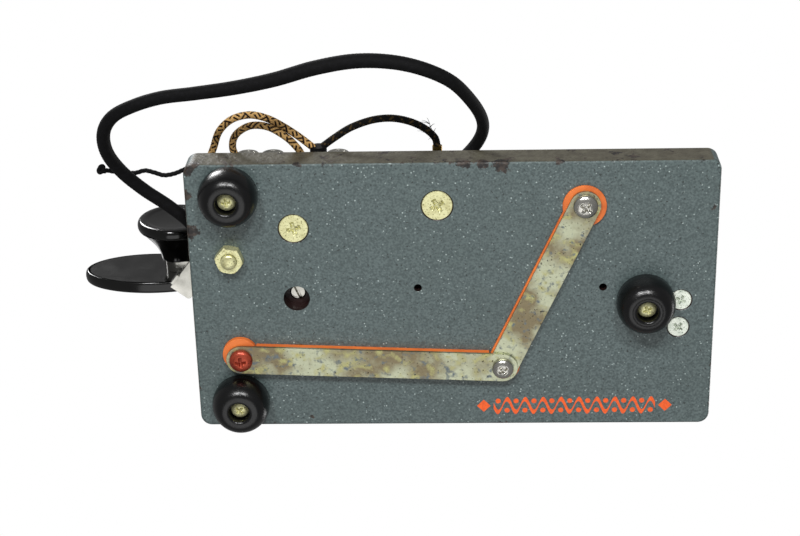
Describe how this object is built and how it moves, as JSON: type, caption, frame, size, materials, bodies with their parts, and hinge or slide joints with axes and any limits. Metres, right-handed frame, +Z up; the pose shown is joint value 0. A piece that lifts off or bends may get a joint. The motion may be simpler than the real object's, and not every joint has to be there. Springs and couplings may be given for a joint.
{
  "type": "semi-automatic morse key",
  "caption": "Semi-automatic morse key: enamelled steel base on rubber feet, sprung lever with knob and paddle, vibrating pendulum, contact posts, under-base straps and woven cord.",
  "frame": {"origin": "on the resting surface, under the middle of the key's outline (paddle included, cord left out)", "axes": "+X along the base towards the damper end, +Y to the operator's left (thumb paddle side), +Z up"},
  "size_m": [0.206, 0.128, 0.069],
  "materials": {
    "hammered_enamel": "blue-grey hammered enamel, worn at the edges",
    "rubber_black": "moulded, satin",
    "zinc_yellow": "yellow passivated zinc",
    "zinc_white": "white zinc",
    "nickel": "nickel plate",
    "steel_plain": "bare spring steel",
    "black_plastic": "polished black moulding",
    "strap_zinc": "mottled zinc",
    "fibre_orange": "vulcanised fibre",
    "screw_copper": "dull red-brown",
    "brass_plain": "brass",
    "cord_cotton": "woven cotton",
    "braid_gold": "gold and brown braid",
    "braid_black": "black braid",
    "wedge_black": "pressed fibre"
  },
  "bodies": {
    "frame": {"base": "hammered_enamel", "front_feet": "rubber_black", "rear_foot": "rubber_black", "foot_screws": "zinc_yellow", "yoke": "nickel", "yoke_screws": "zinc_yellow", "lower_trunnion_screw": "nickel", "upper_trunnion_screw": "nickel", "trunnion_locknut": "nickel", "dash_post": "nickel", "dot_post": "nickel", "adjuster_locknuts": "nickel", "damper_bracket": "nickel", "damper_pin": "nickel", "damper_screws": "zinc_white", "ground_post": "nickel", "line_post": "nickel", "ground_post_screw": "zinc_yellow", "closer_bolt": "zinc_yellow", "closer_hex_nut": "zinc_yellow", "closer_bushing": "fibre_orange", "left_strap": "strap_zinc", "right_strap": "strap_zinc", "left_fibre_strip": "fibre_orange", "right_fibre_strip": "fibre_orange", "fibre_washers": "fibre_orange", "dash_post_screw": "screw_copper", "dot_post_screw": "nickel", "line_post_screw": "nickel", "cord": "cord_cotton", "cord_whipping": "cord_cotton", "wedge_body": "wedge_black", "wedge_plates": "brass_plain", "gold_conductor": "braid_gold", "black_conductor": "braid_black", "strain_string": "cord_cotton", "string_knot": "cord_cotton", "conductor_lugs": "brass_plain"},
    "lever": {"main_lever": "nickel", "finger_knob": "black_plastic", "thumb_paddle": "black_plastic", "paddle_screw": "nickel", "pendulum_spring": "steel_plain", "leaf_screw": "nickel"},
    "pendulum": {"pendulum_hub": "nickel", "pendulum_rod": "nickel", "dot_spring": "nickel"},
    "weight": {"pendulum_weight": "nickel", "weight_thumbscrew": "nickel"},
    "closer": {"closer_arm": "nickel", "closer_knob": "black_plastic"},
    "dash_adjuster": {"dash_contact_screw": "nickel"},
    "dot_adjuster": {"dot_contact_screw": "nickel"},
    "front_stop": {"front_stop_screw": "nickel"},
    "back_stop": {"back_stop_screw": "nickel"},
    "tension": {"tension_screw": "nickel", "lever_spring": "steel_plain"},
    "ground_nut": {"ground_thumb_nut": "nickel"},
    "line_nut": {"line_thumb_nut": "nickel"},
    "wheel": {"damper_wheel": "brass_plain"}
  },
  "joints": [
    {"name": "lever_swing", "type": "hinge", "parent": "frame", "child": "lever", "pos_m": [-0.0287, 0, 0.045], "axis": [0, 0, 1], "range_deg": [-0.6, 1.2], "stiffness_Nm_per_rad": 0.6},
    {"name": "pendulum_swing", "type": "hinge", "parent": "lever", "child": "pendulum", "pos_m": [-0.0055, 0, 0.045], "axis": [0, 0, 1], "range_deg": [0, 1.5], "stiffness_Nm_per_rad": 1.2},
    {"name": "weight_slide", "type": "slide", "parent": "pendulum", "child": "weight", "axis": [1, 0, 0], "range_m": [-0.008, 0.005]},
    {"name": "closer_swing", "type": "hinge", "parent": "frame", "child": "closer", "pos_m": [-0.0491, -0.0144, 0.0272], "axis": [0, 0, 1], "range_deg": [-42, 3]},
    {"name": "dash_screw_travel", "type": "slide", "parent": "frame", "child": "dash_adjuster", "axis": [0, 1, 0], "range_m": [0, 0.0015]},
    {"name": "dot_screw_travel", "type": "slide", "parent": "frame", "child": "dot_adjuster", "axis": [0, 1, 0], "range_m": [0, 0.0015]},
    {"name": "front_stop_travel", "type": "slide", "parent": "frame", "child": "front_stop", "axis": [0, -1, 0], "range_m": [0, 0.0015]},
    {"name": "back_stop_travel", "type": "slide", "parent": "frame", "child": "back_stop", "axis": [0, -1, 0], "range_m": [0, 0.0015]},
    {"name": "tension_travel", "type": "slide", "parent": "frame", "child": "tension", "axis": [0, -1, 0], "range_m": [0, 0.0015]},
    {"name": "ground_nut_travel", "type": "slide", "parent": "frame", "child": "ground_nut", "axis": [0, 0, 1], "range_m": [0, 0.003]},
    {"name": "line_nut_travel", "type": "slide", "parent": "frame", "child": "line_nut", "axis": [0, 0, 1], "range_m": [0, 0.003]},
    {"name": "wheel_spin", "type": "hinge", "parent": "frame", "child": "wheel", "pos_m": [0.092, -0.0084, 0.045], "axis": [0, 0, 1], "continuous": true}
  ]
}
